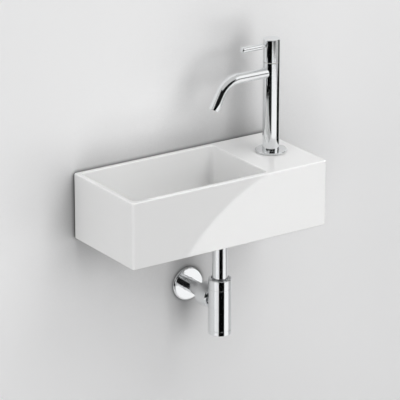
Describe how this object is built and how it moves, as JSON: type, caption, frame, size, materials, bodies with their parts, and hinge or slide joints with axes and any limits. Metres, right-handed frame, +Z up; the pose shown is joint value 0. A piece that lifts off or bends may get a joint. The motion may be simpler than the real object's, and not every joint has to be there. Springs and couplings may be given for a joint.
{
  "type": "wall hung basin",
  "caption": "Small rectangular wall hung hand basin with a tap deck, lever pillar tap, lift-and-tilt waste plug and slim bottle trap",
  "frame": {"origin": "on the back face where it meets the wall, midway between the two fixing bolts", "axes": "+X along the wall towards the tap deck, +Y into the wall, +Z up"},
  "size_m": [0.36, 0.225, 0.4671],
  "materials": {
    "glaze": "white glossy glaze",
    "chrome": "polished",
    "brass": "machined",
    "steel": "zinc plated",
    "black_rubber": "matt",
    "grey_plastic": "moulded",
    "white_plastic": "moulded",
    "alumina": "ground"
  },
  "bodies": {
    "basin": {"basin_body": "glaze", "wall_bolts": "steel", "wall_plugs": "grey_plastic", "fixing_bushes": "white_plastic", "fixing_washers": "steel", "fixing_nuts": "steel", "drain_gasket": "black_rubber", "drain_funnel": "chrome", "drain_seat_ring": "black_rubber", "drain_under_washer": "black_rubber", "drain_back_nut": "brass", "rod_grip_ring": "black_rubber", "union_nut": "chrome", "union_seal": "black_rubber", "trap_tube": "chrome", "trap_top_nut": "chrome", "trap_top_seal": "black_rubber", "trap_bottle": "chrome", "outlet_seal": "black_rubber", "outlet_nut": "chrome", "outlet_pipe": "chrome", "tap_base_seal": "black_rubber", "tap_base_flange": "chrome", "tap_column": "chrome", "tap_spout": "chrome", "aerator_seal": "black_rubber", "aerator": "grey_plastic", "tap_shank": "brass", "tap_rubber_washer": "black_rubber", "tap_clamp_plate": "steel", "tap_lock_nut": "brass", "valve_seat_seal": "black_rubber", "fixed_disc": "alumina", "headwork_body": "brass"},
    "handle": {"handle_head": "chrome", "handle_lever": "chrome", "handle_grub_screw": "steel", "headwork_spindle": "brass", "turning_disc": "alumina", "spindle_clip": "steel"},
    "plug_stem": {"plug_rod": "steel", "plug_block": "brass", "plug_pivot_pin": "steel", "plug_stop_nut": "steel"},
    "plug_cover": {"plug_disc": "chrome", "plug_yoke": "steel"},
    "rosette": {"wall_rosette": "chrome"},
    "cup_seal": {"trap_cup_seal": "black_rubber"},
    "cup": {"trap_cup": "chrome"}
  },
  "joints": [
    {"name": "handle_turn", "type": "hinge", "parent": "basin", "child": "handle", "pos_m": [0.1333, -0.0839, 0.2433], "axis": [0, 0, 1], "range_deg": [0, 90]},
    {"name": "plug_lift", "type": "slide", "parent": "basin", "child": "plug_stem", "axis": [0, 0, 1], "range_m": [-0.026, 0]},
    {"name": "plug_tilt", "type": "hinge", "parent": "plug_stem", "child": "plug_cover", "pos_m": [0.03, -0.094, 0.038], "axis": [-1, 0, 0], "range_deg": [-22.6, 0]},
    {"name": "rosette_slide", "type": "slide", "parent": "basin", "child": "rosette", "axis": [0, -1, 0], "range_m": [0, 0.03]},
    {"name": "cup_drop", "type": "slide", "parent": "basin", "child": "cup_seal", "axis": [0, 0, -1], "range_m": [0, 0.0045]},
    {"name": "cup_turn", "type": "hinge", "parent": "cup_seal", "child": "cup", "pos_m": [0.03, -0.094, -0.1875], "axis": [0, 0, -1], "range_deg": [0, 1080]}
  ],
  "couplings": [
    {"joint": "plug_tilt", "follows": "plug_lift", "rad_per_m": 15.169},
    {"joint": "cup_turn", "follows": "cup_drop", "rad_per_m": 4188.7}
  ]
}
